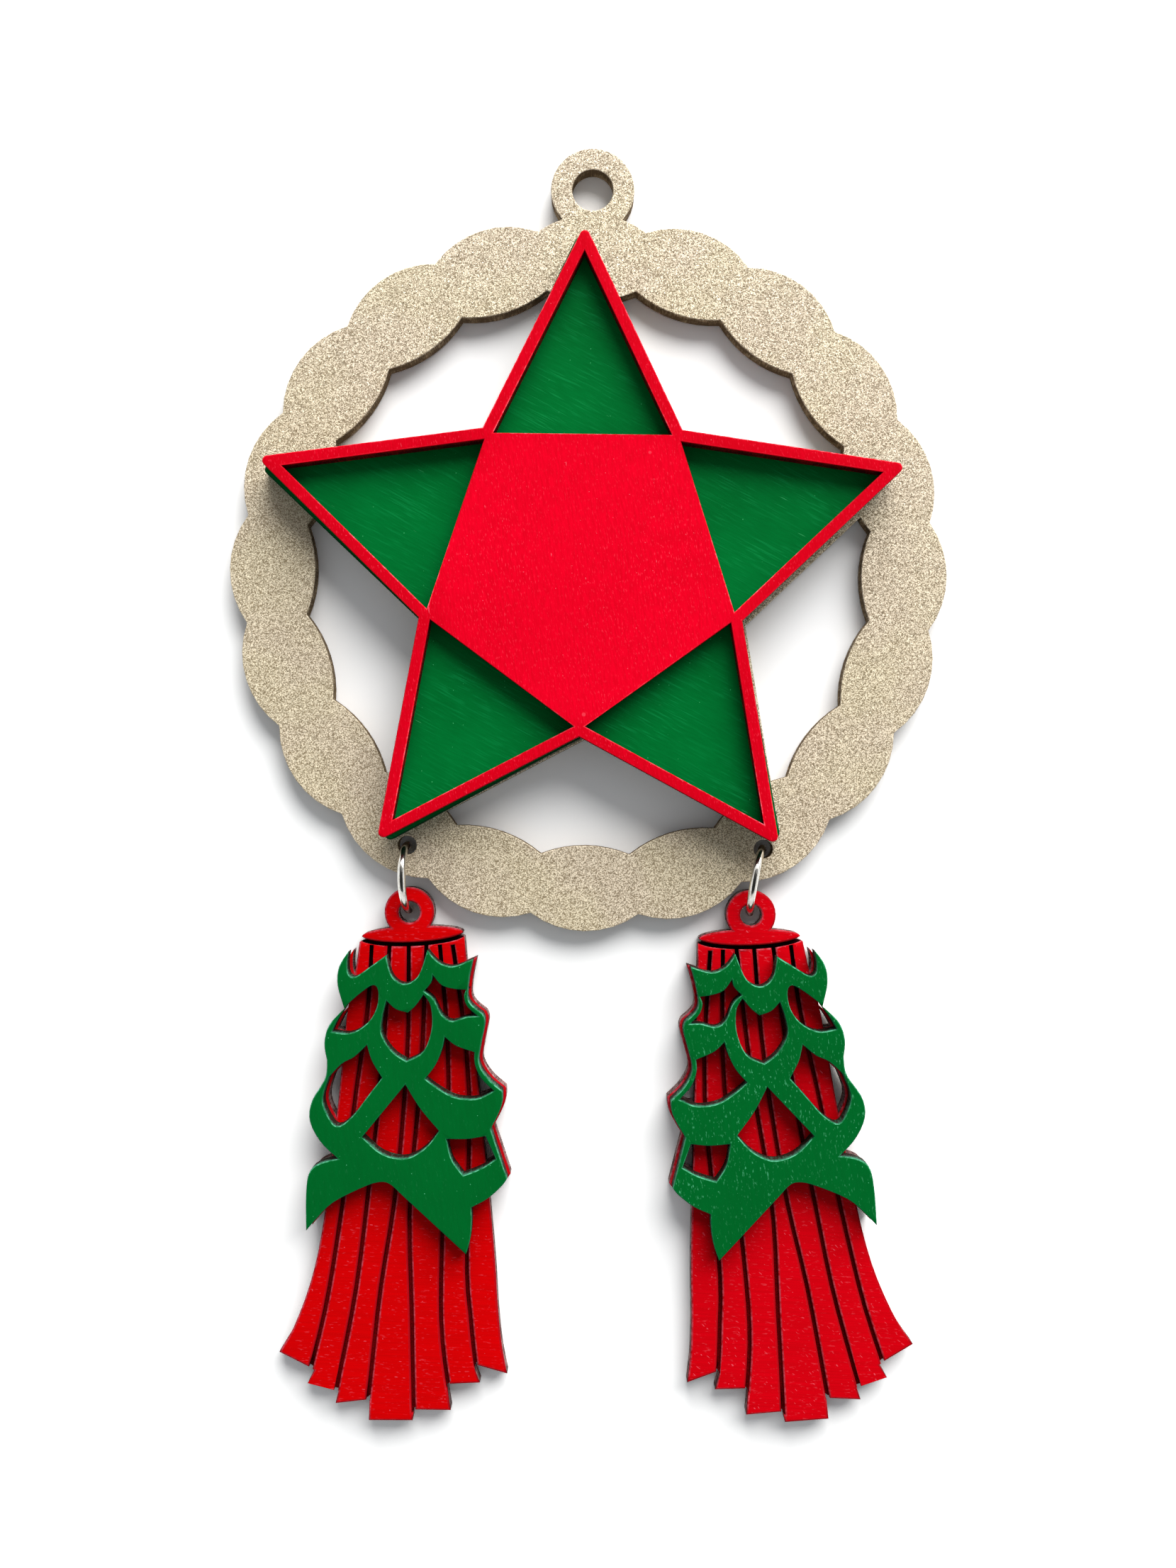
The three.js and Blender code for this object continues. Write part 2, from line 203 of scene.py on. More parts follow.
# %% [markdown]
# ## Patterns on a sheet
# Streaks, dashes, dots and grain lie all over the sheets. They could be painted as pictures and wrapped
# round each piece, but node patterns need no unwrapping and stay sharp close up. All pieces are flat, so
# patterns are placed by millimetres across the sheet, down it and through it. A stretch below one draws
# a pattern out along that way, and a lean turns it in the sheet. Streaks are noise that is drawn out.
# Specks are cells of which some have a dot in the middle: a dot's size comes from its cell's random
# colour, and most cells get none.

# %% A finish with its patterns
DOT_SOFTNESS = 0.4


class Finish(Web):
    """One material, made of patterns."""

    def __init__(self, name):
        super().__init__(bpy.data.materials.new(name))

    def place(self, stretch=1.0, lean=0.0):
        """Millimetres across the sheet, down it and through it."""
        stretches = stretch if isinstance(stretch, tuple) else (stretch, stretch, stretch)
        spot = self.node("ShaderNodeTexCoord", output="Object")
        turned = {"Vector": spot, "Rotation": (math.pi / 2, 0, lean)}
        laid = self.node("ShaderNodeMapping", inputs=turned)
        scaled = {"Vector": laid, "Scale": [part / MM for part in stretches]}
        return self.node("ShaderNodeMapping", inputs=scaled)

    def along(self, axis):
        """Millimetres along one axis of the sheet: X across, Y down, Z through."""
        return self.node("ShaderNodeSeparateXYZ", inputs={"Vector": self.place()}, output=axis)

    def distance(self, middle):
        """How many millimetres away from a point."""
        spot = self.node("ShaderNodeTexCoord", output="Object")
        return self.vector("DISTANCE", {0: spot, 1: middle}, "Value") * (1 / MM)

    def shaken(self, start, random_colour, amount):
        """A vector that a random colour pushes to any side."""
        centred = self.vector("SUBTRACT", {0: random_colour, 1: (0.5, 0.5, 0.5)})
        scaled = self.vector("SCALE", {0: centred, "Scale": amount})
        return self.vector("ADD", {0: start, 1: scaled})

    def noise(self, spot, detail=2.0, rough=0.5):
        inputs = {"Vector": spot, "Scale": 1.0, "Detail": detail, "Roughness": rough}
        return self.node("ShaderNodeTexNoise", inputs=inputs)

    def cells(self, spot, per_mm, output, flat=True):
        settings = {"voronoi_dimensions": "2D" if flat else "3D"}
        return self.node("ShaderNodeTexVoronoi", settings, {"Vector": spot, "Scale": per_mm}, output)

    def part(self, colour, channel):
        return self.node("ShaderNodeSeparateColor", inputs={"Color": colour}, output=channel)

    def step(self, value, low, high):
        """0 below low, 1 above high and smooth between."""
        settings = {"interpolation_type": "SMOOTHSTEP"}
        inputs = {"Value": value, "From Min": low, "From Max": high}
        return self.node("ShaderNodeMapRange", settings, inputs)

    def specks(self, spot, per_mm, share, size):
        """Dots in a share of the cells, up to that size in millimetres."""
        reach = size * per_mm
        chance = self.part(self.cells(spot, per_mm, "Color"), "Red")
        radius = (chance - (1 - share)) * (reach / share)
        return self.step(radius - self.cells(spot, per_mm, "Distance"), 0.0, DOT_SOFTNESS * reach)

    def bump(self, height, depth):
        """A relief of that depth in millimetres."""
        return self.node("ShaderNodeBump", inputs={"Height": height, "Distance": depth * MM})

    def surface(self, **sockets):
        """The finished surface; names are the shader's sockets with _ for a space."""
        inputs = {key.replace("_", " "): value for key, value in sockets.items()}
        return self.show(self.node("ShaderNodeBsdfPrincipled", inputs=inputs))

    def show(self, shader):
        self.node("ShaderNodeOutputMaterial", inputs={"Surface": shader}, output=None)
        return self.owner


print("a finish has", [name for name in vars(Finish) if not name.startswith("_")])


# %% Colours
def tint(red, green, blue):
    """A colour from screen values of 0 to 255, by the sRGB curve."""
    linear = []
    for part in (red, green, blue):
        part = part / 255
        linear.append(part / 12.92 if part <= 0.04045 else ((part + 0.055) / 1.055) ** 2.4)
    return (*linear, 1.0)


def grey(tone):
    return (tone, tone, tone, 1.0)


print("a middle grey is", [round(part, 3) for part in tint(128, 128, 128)])

# %% [markdown]
# ## The white table
# The ornament lay on a white table. The frame stands upright, so the table becomes a board just behind
# it, and the upright wire rings reach through it. The picture was exposed for the ornament, which left
# the table whiter than white. More light would also do that, but it would bleach the paint. So the
# board is brighter where it is looked at, and throws less light back. It would hide the back in other
# views, so its far side is see-through, and it casts no shadow itself.

# %% Table board
TABLE_GAP = 0.3 * MM
TABLE_SIZE = 600 * MM
TABLE_SEEN = 1.3
TABLE_BOUNCE = 0.6
aim = (cad_low + cad_high) / 2


def upright_sheet(name, size, spot):
    """A square that faces the front."""
    half = size / 2
    corners = [(-half, 0, -half), (half, 0, -half), (half, 0, half), (-half, 0, half)]
    mesh = bpy.data.meshes.new(name)
    mesh.from_pydata(corners, [], [(0, 1, 2, 3)])
    sheet = add_object(name, mesh)
    sheet.location = spot
    return sheet


def looked_at(web):
    """1 where the camera, a mirror or glass looks."""
    seen = [web.node("ShaderNodeLightPath", output=kind + " Ray")
            for kind in ("Is Camera", "Is Glossy", "Is Transmission")]
    return web.node("ShaderNodeClamp", inputs={"Value": seen[0] + seen[1] + seen[2]})


def white_table():
    white = Finish("white_table")
    colour = white.mix(looked_at(white), grey(TABLE_BOUNCE), grey(TABLE_SEEN))
    matt = white.node("ShaderNodeBsdfDiffuse", inputs={"Color": colour})
    clear = white.node("ShaderNodeBsdfTransparent")
    far_side = white.node("ShaderNodeNewGeometry", output="Backfacing")
    return white.show(white.node("ShaderNodeMixShader", inputs={0: far_side, 1: matt, 2: clear}))


board = upright_sheet("table_board", TABLE_SIZE, (aim.x, plate_high.y + TABLE_GAP, aim.z))
board.visible_shadow = False
board.data.materials.append(white_table())
print("board", round((board.location.y - plate_high.y) / MM, 2), "mm behind the gold plate")

# %% [markdown]
# ## A dark card
# Paint and wire mirror what is in front of them, and a white room would wash them out. The room could
# be made dark, but then it would no longer fill the shadows. So a dark card stands in front, as in a
# studio, and only reflections see it. It keeps the paint deep and gives the wire its dark line.

# %% Dark card
CARD_SIZE = 1.2
CARD_DISTANCE = 0.62
CARD_TONE = 0.02

card = upright_sheet("dark_card", CARD_SIZE, (camera_spot.x, -CARD_DISTANCE, camera_spot.z))
card.visible_camera = False
card.visible_diffuse = False
card.visible_shadow = False
card.visible_transmission = False
shade = Finish("dark_card")
black = {"Color": grey(CARD_TONE), "Strength": 1.0}
card.data.materials.append(shade.show(shade.node("ShaderNodeEmission", inputs=black)))
print("card", round(math.degrees(math.atan(CARD_SIZE / 2 / CARD_DISTANCE))), "degrees to each side")

# %% [markdown]
# ## Lamps and world
# The light came from a broad window beyond the picture's top right corner. A sun lamp is simpler, but
# its shadows are hard, and these fade out within millimetres, so a large round lamp stands for the
# window. A second lamp straight behind lights the bare back. No table stops it there, so it lights only
# what is looked at directly, and reflections don't show it. The world fills in from the front half of
# the room, since a real table would block the rest. It is plain white where the camera, a mirror or
# glass looks at it.

# %% Lamps
LAMP_DISTANCE = 2.2
WINDOW_SIDE = Vector((0.3, -0.5, 0.85)).normalized()
WINDOW_SIZE = 2.4
WINDOW_POWER = 104
WINDOW_TINT = (1.0, 0.99, 0.975)
BACK_SIDE = Vector((0.0, 1.0, 0.0))
BACK_SIZE = 0.3
BACK_POWER = 38
BACK_TINT = (1.0, 1.0, 1.0)


def area_lamp(name, side, size, power, colour):
    lamp_data = bpy.data.lights.new(name, "AREA")
    lamp_data.shape = "DISK"
    lamp_data.size = size
    lamp_data.energy = power
    lamp_data.color = colour
    lamp = add_object(name, lamp_data)
    lamp.location = aim + side * LAMP_DISTANCE
    lamp.rotation_mode = "QUATERNION"
    lamp.rotation_quaternion = (-side).to_track_quat("-Z", "Y")
    return lamp


area_lamp("window_lamp", WINDOW_SIDE, WINDOW_SIZE, WINDOW_POWER, WINDOW_TINT)
back_lamp = area_lamp("back_lamp", BACK_SIDE, BACK_SIZE, BACK_POWER, BACK_TINT)
back_lamp.data.cycles.max_bounces = 0
back_lamp.visible_glossy = False
print("lamps:", [lamp.name for lamp in bpy.data.lights])

# %% World
WORLD_LIGHT = 0.3
WORLD_TINT = (0.93, 0.97, 1.0, 1.0)
HORIZON = 0.1


def in_front(web):
    """1 for the half of the room in front of the table, 0 for the half behind it."""
    side = web.node("ShaderNodeTexCoord", output="Generated")
    depth = web.node("ShaderNodeSeparateXYZ", inputs={"Vector": side}, output="Y")
    inputs = {"Value": depth, "From Min": HORIZON, "From Max": -HORIZON}
    return web.node("ShaderNodeMapRange", inputs=inputs)


room = Web(bpy.data.worlds.new("room"))
seen = looked_at(room)
fill = in_front(room) * WORLD_LIGHT
tone = room.mix(seen, WORLD_TINT, grey(1.0))
sky = room.node("ShaderNodeBackground", inputs={"Color": tone, "Strength": seen * (1 - fill) + fill})
room.node("ShaderNodeOutputWorld", inputs={"Surface": sky}, output=None)
bpy.context.scene.world = room.owner
print("world fills in at", WORLD_LIGHT)

# %% [markdown]
# ## Gold glitter
# The ring is coated with fine glitter in a champagne tone. Each flake is a mirror about an eighth of a
# millimetre across that lies at its own angle, so some flash and others stay dark. Modelling flakes one
# by one would take far too many faces. A cell pattern gives each flake a random colour, which sets how
# far its surface is tipped and how pale its colour is. That paleness is partly the flake's own tone and
# partly a painted glint that stands for the flash.

# %% Gold glitter finish
FLAKE = 0.12
FLAKE_TIP = 0.4
GRIT_PER_MM = 4
PATCHES_PER_MM = 0.08


def gold_glitter():
    coat = Finish("gold_glitter")
    flake = coat.cells(coat.place(), 1 / FLAKE, "Color", flat=False)
    chance = coat.part(flake, "Red")
    second = coat.part(flake, "Green")
    patch = coat.step(coat.noise(coat.place(PATCHES_PER_MM), detail=3), 0.35, 0.65)
    grit = coat.noise(coat.place(GRIT_PER_MM))
    # Painted glint: pale flakes stand partly for their own tone and partly for the flash of a tipped
    # flake.
    flake_tone_and_glint = coat.step(chance * 0.7 + grit * 0.6, 0.35, 0.95)
    dark_flake = coat.mix(patch, tint(160, 142, 110), tint(158, 139, 112))
    light_flake = coat.mix(patch, tint(248, 234, 203), tint(247, 231, 205))
    normal = coat.node("ShaderNodeNewGeometry", output="Normal")
    tipped = coat.shaken(normal, flake, FLAKE_TIP)
    return coat.surface(
        Base_Color=coat.mix(flake_tone_and_glint, dark_flake, light_flake),
        Metallic=0.25 * second,
        Roughness=0.5 - 0.15 * second,
        Normal=coat.vector("NORMALIZE", {0: tipped}),
    )


GOLD = gold_glitter()
print("made", GOLD.name, "with flakes of", FLAKE, "mm")

# %% [markdown]
# ## Brushed paint
# Red and green were brushed on in thin coats. A brush leaves fine streaks, and dust and bristles leave
# pale specks, short dashes and a few chips. One paint could serve all pieces, but each was brushed
# another way, so each gets its own: the strokes and dashes lean as on that piece. All paints end in the
# same surface, which lays the pale marks over the body colour and raises them a little.

# %% Paint surface
PAINT_SHINE = 0.03
PAINT_RELIEF = 0.018


def paint_surface(coat, body, marks, pale, stroke):
    return coat.surface(
        Base_Color=coat.mix(marks, body, pale),
        Roughness=0.36 + 0.14 * stroke,
        Specular_IOR_Level=PAINT_SHINE,
        Normal=coat.bump(stroke * 0.5 + marks, PAINT_RELIEF),
    )


print("marks stand", PAINT_RELIEF, "mm proud of the paint")

# %% Strokes and marks
CURLS_PER_MM = 0.9
CROWDS_PER_MM = 0.12


def strokes(coat, lean, across, along):
    """Brush streaks, so many to a millimetre across and along."""
    spot = coat.place((across, along, across), lean)
    return coat.step(coat.noise(spot, detail=4, rough=0.6), 0.3, 0.7)


def flecks(coat, lean, across, along, low=0.58, high=0.78):
    """Short uneven streaks, so many to a millimetre across and along."""
    spot = coat.place((across, along, across), lean)
    return coat.step(coat.noise(spot, detail=1), low, high)


def crowds(coat, least):
    """Where marks lie close together, and the least share of them elsewhere."""
    crowded = coat.step(coat.noise(coat.place(CROWDS_PER_MM)), 0.4, 0.62)
    return crowded * (1 - least) + least


def curled(coat, spot, amount):
    """A place that wavers, so that dashes on it curl."""
    inputs = {"Vector": spot, "Scale": CURLS_PER_MM}
    waver = coat.node("ShaderNodeTexNoise", inputs=inputs, output="Color")
    return coat.shaken(spot, waver, amount)


print("hairs curl about", CURLS_PER_MM, "times in a millimetre")

# %% [markdown]
# The star's red is full of fine flecks that stand nearly upright, with dots, curled hairs and chips. Its
# bars are a little deeper in colour than the middle. The green in the windows has long slanting streaks.

# %% Star paints
STAR_RED_LEAN = math.radians(10)
STAR_GREEN_LEAN = math.radians(63)
MIDDLE_REACH = 19.0
BARS_START = 26.0


def star_red():
    coat = Finish("star_red")
    stroke = strokes(coat, STAR_RED_LEAN, across=4.0, along=0.5)
    cloud = coat.noise(coat.place(0.06), detail=3)
    bars = coat.step(coat.distance(ring_middle), MIDDLE_REACH, BARS_START)
    depth = stroke * 0.6 + cloud * 0.7 + bars * 0.6 - 0.3
    brushed = coat.mix(depth, tint(243, 0, 37), tint(210, 0, 24))
    fine = flecks(coat, STAR_RED_LEAN, across=6.0, along=1.6) * crowds(coat, least=0.4)
    body = coat.mix(fine * 0.8, brushed, tint(255, 48, 74))
    dots = coat.specks(coat.place(), per_mm=0.9, share=0.14, size=0.08)
    wavy = curled(coat, coat.place((1, 0.3, 1), STAR_RED_LEAN), amount=1.2)
    hairs = coat.specks(wavy, per_mm=0.5, share=0.16, size=0.1)
    chips = coat.specks(coat.place(), per_mm=0.11, share=0.3, size=0.4)
    marks = dots * 0.6 + hairs * 0.6 + chips * 0.25
    return paint_surface(coat, body, marks, tint(255, 110, 132), fine)


def star_green():
    coat = Finish("star_green")
    stroke = strokes(coat, STAR_GREEN_LEAN, across=4.0, along=0.4)
    cloud = coat.noise(coat.place(0.09), detail=3)
    brushed = coat.mix(stroke * 0.2 + cloud * 0.9 - 0.25, tint(0, 120, 51), tint(0, 84, 30))
    threads = flecks(coat, STAR_GREEN_LEAN, across=5.0, along=0.3, low=0.5, high=0.75)
    fine = threads * crowds(coat, least=0.3)
    body = coat.mix(fine * 0.38, brushed, tint(16, 152, 80))
    drawn_out = coat.place((1, 0.07, 1), STAR_GREEN_LEAN)
    streaks = coat.specks(drawn_out, per_mm=0.9, share=0.16, size=0.05)
    dots = coat.specks(coat.place(), per_mm=0.7, share=0.14, size=0.09)
    return paint_surface(coat, body, streaks * 0.5 + dots * 0.8, tint(70, 190, 120), fine)


RED_STAR = star_red()
GREEN_STAR = star_green()
print("made", RED_STAR.name, "and", GREEN_STAR.name)

# %% [markdown]
# The two tassels didn't come out alike. The left one is smooth, with a few level dashes in its red. The
# right one caught more dust: upright dashes all over its leaves and short curled ones on its strands.
# So their paints take how many marks there are, and how far the marks curl.

# %% Tassel paints
LEAF_LEAN = math.radians(8)
STRAND_LEAN = math.radians(88)
CURL_TURN = math.radians(40)


def leaf_green(name, dust):
    coat = Finish(name)
    stroke = strokes(coat, LEAF_LEAN, across=2.0, along=0.3)
    cloud = coat.noise(coat.place(0.1), detail=3)
    body = coat.mix(stroke * 0.25 + cloud * 0.6 - 0.15, tint(0, 103, 40), tint(0, 86, 31))
    upright = flecks(coat, LEAF_LEAN, across=5.0, along=1.6, low=0.62)
    dashes = upright * crowds(coat, least=0.4) * dust
    dots = coat.specks(coat.place(), per_mm=1.1, share=0.14, size=0.09)
    return paint_surface(coat, body, dashes * 0.5 + dots * 0.6, tint(96, 206, 152), stroke)


def tassel_red(name, blue, dust, curl):
    coat = Finish(name)
    stroke = strokes(coat, STRAND_LEAN, across=2.6, along=0.1)
    cloud = coat.noise(coat.place(0.07), detail=3)
    body = coat.mix(stroke * 0.4 + cloud * 0.6 - 0.15, tint(220, 0, blue), tint(192, 0, blue / 2))
    level = flecks(coat, STRAND_LEAN, across=5.0, along=1.2, low=0.62, high=0.8) * 0.18
    wavy = curled(coat, coat.place((1, 0.25, 1), STRAND_LEAN - CURL_TURN * curl), amount=curl)
    dashes = coat.specks(wavy, per_mm=2.2, share=dust, size=0.07) * crowds(coat, least=0.4)
    dots = coat.specks(coat.place(), per_mm=0.9, share=0.1, size=0.09)
    return paint_surface(coat, body, level + dashes * 0.5 + dots * 0.6, tint(250, 112, 130), stroke)


GREEN_LEAF = {
    "left": leaf_green("leaf_green_left", dust=0.1),
    "right": leaf_green("leaf_green_right", dust=1.0),
}
RED_TASSEL = {
    "left": tassel_red("tassel_red_left", blue=4, dust=0.2, curl=0.1),
    "right": tassel_red("tassel_red_right", blue=18, dust=0.6, curl=1.0),
}
print("made", [paint.name for paint in (*GREEN_LEAF.values(), *RED_TASSEL.values())])

# %% [markdown]
# ## Worn rims with a painted highlight
# Paint draws back from a sharp rim and is rubbed off there in patches. The rims also get a painted
# highlight: their colour turns pale where they face up on the star and the leaves, and where they face
# left on the strands, as if light fell on them there. A shader can look for rims by itself, but that
# needs a very dense mesh. Here each rim will be a narrow band of faces, so it simply gets a finish of
# its own, and the way that a face points tells where the painted highlight goes.

# %% Rim finishes
# Which way a rim faces where it gets its painted highlight.
LIT_UPWARD = (0, 0, 1)
LIT_LEFTWARD = (-0.9, 0, 0.45)
HIGHLIGHT_START = -0.2
HIGHLIGHT_FULL = 0.4


def worn_and_highlit_rim(name, paint, pale, highlit_side, wear):
    """Paint rubbed thin in patches, with a painted highlight where the rim faces that way."""
    rim = Finish(name)
    normal = rim.node("ShaderNodeTexCoord", output="Normal")
    toward_highlit_side = rim.vector("DOT_PRODUCT", {0: normal, 1: highlit_side}, "Value")
    patchy = rim.step(rim.noise(rim.place(1.4), detail=3, rough=0.6) + wear, 0.35, 0.75)
    # Painted highlight: the worn patches turn pale only where the rim faces up or left, toward the
    # light.
    rubbed_and_highlit = patchy * rim.step(toward_highlit_side, HIGHLIGHT_START, HIGHLIGHT_FULL)
    return rim.surface(
        Base_Color=rim.mix(rubbed_and_highlit, paint, pale),
        Roughness=0.5 - 0.1 * rubbed_and_highlit,
        Specular_IOR_Level=PAINT_SHINE,
    )


# Rim colours: real patchy wear, with a painted highlight where the rim faces that way.
RED_RIM = worn_and_highlit_rim("red_rim", tint(226, 4, 32), tint(255, 130, 145), LIT_UPWARD, wear=-0.05)
TASSEL_RIM = worn_and_highlit_rim("tassel_rim", tint(176, 8, 20), tint(210, 84, 100), LIT_LEFTWARD, wear=0.02)
GREEN_RIM = worn_and_highlit_rim("green_rim", tint(4, 60, 32), tint(96, 176, 136), LIT_UPWARD, wear=-0.05)
LEAF_RIM = worn_and_highlit_rim("leaf_rim", tint(10, 106, 56), tint(92, 182, 142), LIT_UPWARD, wear=0.04)
print("made", [rim.name for rim in (RED_RIM, TASSEL_RIM, GREEN_RIM, LEAF_RIM)])

# %% [markdown]
# ## Cut edges
# A laser cuts the sheets. It leaves the edge brown, with fine lines through the thickness and the plies
# showing as bands, and some paint runs over it. The plies could be modelled as layers, but they are
# flush, so colour is enough. Noise drawn out through the sheet gives the lines, the depth in the sheet
# tells where the plies meet, and the edge is a mix of scorch and paint.

# %% Edge finishes
SHEET = (plate_high.y - plate_low.y) / MM
PLIES = 3
PLY = SHEET / PLIES
SEAM = 0.12
RUN_START = 0.2
RUN_END = 1.6
EDGE_RELIEF = 0.04
SCORCH_SHINE = 0.05


def cut_edge(name, paint, scorch, cover, run=0.0):
    """An edge with that much paint on it, and more where it runs over from the face."""
    edge = Finish(name)
    depth = edge.along("Z") + SHEET / 2
    within = depth % PLY
    seam = 1 - edge.step(within, 0.0, SEAM) * edge.step(PLY - within, 0.0, SEAM)
    covered = cover + run * (1 - edge.step(depth % SHEET, RUN_START, RUN_END))
    lines = edge.noise(edge.place((5, 5, 0.5)), detail=3, rough=0.6)
    blotch = edge.noise(edge.place(0.5), detail=3)
    painted = edge.step(lines * 0.5 + blotch * 0.5 + covered, 0.42, 0.62)
    return edge.surface(
        Base_Color=edge.mix(painted * (1 - 0.5 * seam), scorch, paint),
        Roughness=0.75 - 0.2 * painted,
        Specular_IOR_Level=SCORCH_SHINE,
        Normal=edge.bump(lines * 0.7 - seam * 0.5, EDGE_RELIEF),
    )


GOLD_EDGE = cut_edge("gold_cut_edge", tint(186, 164, 130), tint(112, 94, 70), cover=-0.04)
RED_EDGE = cut_edge("red_cut_edge", tint(140, 4, 14), tint(66, 4, 8), cover=-0.04, run=0.16)
TASSEL_EDGE = cut_edge("tassel_cut_edge", tint(176, 140, 138), tint(84, 56, 54), cover=0.0)
GREEN_EDGE = cut_edge("green_cut_edge", tint(6, 52, 30), tint(14, 24, 18), cover=0.04)
LEAF_EDGE = cut_edge("leaf_cut_edge", tint(56, 112, 90), tint(44, 35, 28), cover=-0.08, run=0.2)
print("made edges for", round(SHEET, 2), "mm sheet with plies of", round(PLY, 2), "mm")

# %% [markdown]
# ## Engraved grooves
# The lines between the tassel strands are engraved. Their colour is near black for the first
# millimetres below the top of the tassel, under the cap. Further down red paint ran into them, and they
# are dark mostly because they lie in shadow. Black lines could be painted on, but the CAD plates have
# real grooves, so those only need a finish that goes from near black to deep red on the way down.

# %% Groove finish
NEAR_BLACK_LENGTH = 13.0
COATED_LENGTH = 19.0
GROOVE_RELIEF = 0.05
tassel_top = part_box("tassel_plate_left")[1].z / MM


def groove_finish():
    groove_coat = Finish("charcoal_groove")
    groove_grain = groove_coat.noise(groove_coat.place(4), detail=4, rough=0.6)
    # Near black for the top of the tassel, under the cap, and deep red further down.
    coated = groove_coat.step(groove_coat.along("Y") + tassel_top, NEAR_BLACK_LENGTH, COATED_LENGTH)
    red = groove_coat.mix(groove_coat.step(groove_grain, 0.35, 0.75), tint(120, 3, 8), tint(164, 10, 18))
    return groove_coat.surface(
        Base_Color=groove_coat.mix(coated, tint(40, 2, 5), red),
        Roughness=0.95 - 0.2 * groove_grain,
        Specular_IOR_Level=SCORCH_SHINE,
        Normal=groove_coat.bump(groove_grain, GROOVE_RELIEF),
    )


GROOVE_FINISH = groove_finish()
print("made", GROOVE_FINISH.name, "that turns red", NEAR_BLACK_LENGTH, "to", COATED_LENGTH, "mm down")

# %% [markdown]
# ## Bare backs
# The backs weren't seen. They could be painted like the fronts, but that is seldom done, so they get
# the likely thing: bare birch plywood, pale, with long grain lines and short pores.

# %% Birch finish
GRAIN_LEAN = math.radians(4)
GRAIN_RELIEF = 0.03


def bare_birch():
    wood = Finish("bare_birch")
    warp = wood.noise(wood.place((0.03, 0.012, 0.03)))
    lines = wood.noise(wood.place((1.1, 0.03, 1.1), GRAIN_LEAN), detail=4, rough=0.6)
    bands = wood.noise(wood.place((0.16, 0.012, 0.16), GRAIN_LEAN), detail=3)
    dashes = wood.noise(wood.place((5.5, 0.4, 5.5), GRAIN_LEAN), detail=1)
    pores = wood.step(dashes, 0.64, 0.72)
    banded = wood.step(bands + warp * 0.4, 0.5, 0.85)
    tone = wood.mix(banded, tint(226, 200, 158), tint(200, 166, 118))
    lined = wood.mix(wood.step(lines, 0.45, 0.75) * 0.45, tone, tint(172, 132, 86))
    return wood.surface(
        Base_Color=wood.mix(pores * 0.5, lined, tint(120, 86, 52)),
        Roughness=0.62 + 0.15 * lines,
        Normal=wood.bump(lines * 0.5 - pores, GRAIN_RELIEF),
    )


BIRCH = bare_birch()
print("made", BIRCH.name)

# %% [markdown]
# ## Rounding the cut sheets
# The CAD plates have knife-sharp rims, and nothing real does: a rounded rim catches the light. A Bevel
# modifier could do it, but it stumbles over the CAD's long thin triangles and would round the groove
# floors too. So each plate is copied and its two flat faces are taken off. Their rims are walked as
# closed loops, the wall is lowered a little, two narrow bands lead round to a loop that is set in, and
# the flat face is filled again inside that loop.

# %% Rim loops of a flat face
RIM = 0.14 * MM
WIDE_RIM = 0.26 * MM
TOUCH = 0.002 * MM
FACING = 0.99
MITRE_LIMIT = 2.5
SHARPEST_TURN = 0.05


def lies_flat(face, depth):
    return abs(face.normal.y) > FACING and all(abs(corner.co.y - depth) < TOUCH for corner in face.verts)


def rim_loops(flat):
    """The closed rims of flat faces, with the material on the left."""
    inside = set(flat)
    after = {}
    for face in flat:
        for loop in face.loops:
            if not all(other in inside for other in loop.edge.link_faces):
                after[loop.vert] = loop.link_loop_next.vert
    loops = []
    while after:
        corner = next(iter(after))
        ring = []
        while corner in after:
            ring.append(corner)
            corner = after.pop(corner)
        loops.append(ring)
    return loops


def set_in(points, normal, width):
    """How far each point of a loop moves into the material."""
    moves = []
    count = len(points)
    for index, point in enumerate(points):
        before = normal.cross((point - points[index - 1]).normalized())
        behind = normal.cross((points[(index + 1) % count] - point).normalized())
        mitre = (before + behind) / max(1 + before.dot(behind), SHARPEST_TURN)
        if mitre.length > MITRE_LIMIT:
            mitre = mitre.normalized() * MITRE_LIMIT
        moves.append(mitre * width)
    return moves


print("rims of", RIM / MM, "and", WIDE_RIM / MM, "mm")

# %% [markdown]
# In narrow corners the loops that are set in could cross. A triangulation that keeps their lines shows
# it: where lines cross, it adds a point of its own. The corners beside such a point move less, and the
# triangulation is made again, until nothing crosses. It also fills the face, holes included: a triangle
# is kept if a line from its middle crosses the loops an odd number of times, so that it lies on wood.

# %% Settle the loops and fill between them
TRIES = 12
GIVE_WAY = 0.6
SAME_SPOT = 1e-7
WHOLE_HULL = 0


def settle(points, moves, edges):
    """How much of its move each point can make, the moved points and the triangles between them."""
    shares = [1.0] * len(points)
    for _ in range(TRIES):
        spots = [point + move * share for point, move, share in zip(points, moves, shares)]
        _, pairs, triangles, origins, sources, _ = delaunay_2d_cdt(
            spots, edges, [], WHOLE_HULL, SAME_SPOT
        )
        crowded = {index for index, origin in enumerate(origins) if len(origin) != 1}
        if not crowded:
            break
        tight = {corner for index in crowded for corner in origins[index]}
        for pair, source in zip(pairs, sources):
            if crowded.intersection(pair):
                tight.update(corner for edge in source for corner in edges[edge])
        for corner in tight:
            shares[corner] *= GIVE_WAY
    kept = [triangle for triangle in triangles if not crowded & set(triangle)]
    return shares, spots, [[origins[index][0] for index in triangle] for triangle in kept]


def on_wood(spot, spots, edges):
    crossings = 0
    for first, second in edges:
        start, end = spots[first], spots[second]
        if (start.y > spot.y) != (end.y > spot.y):
            crossings += start.x + (spot.y - start.y) * (end.x - start.x) / (end.y - start.y) > spot.x
    return crossings % 2 == 1


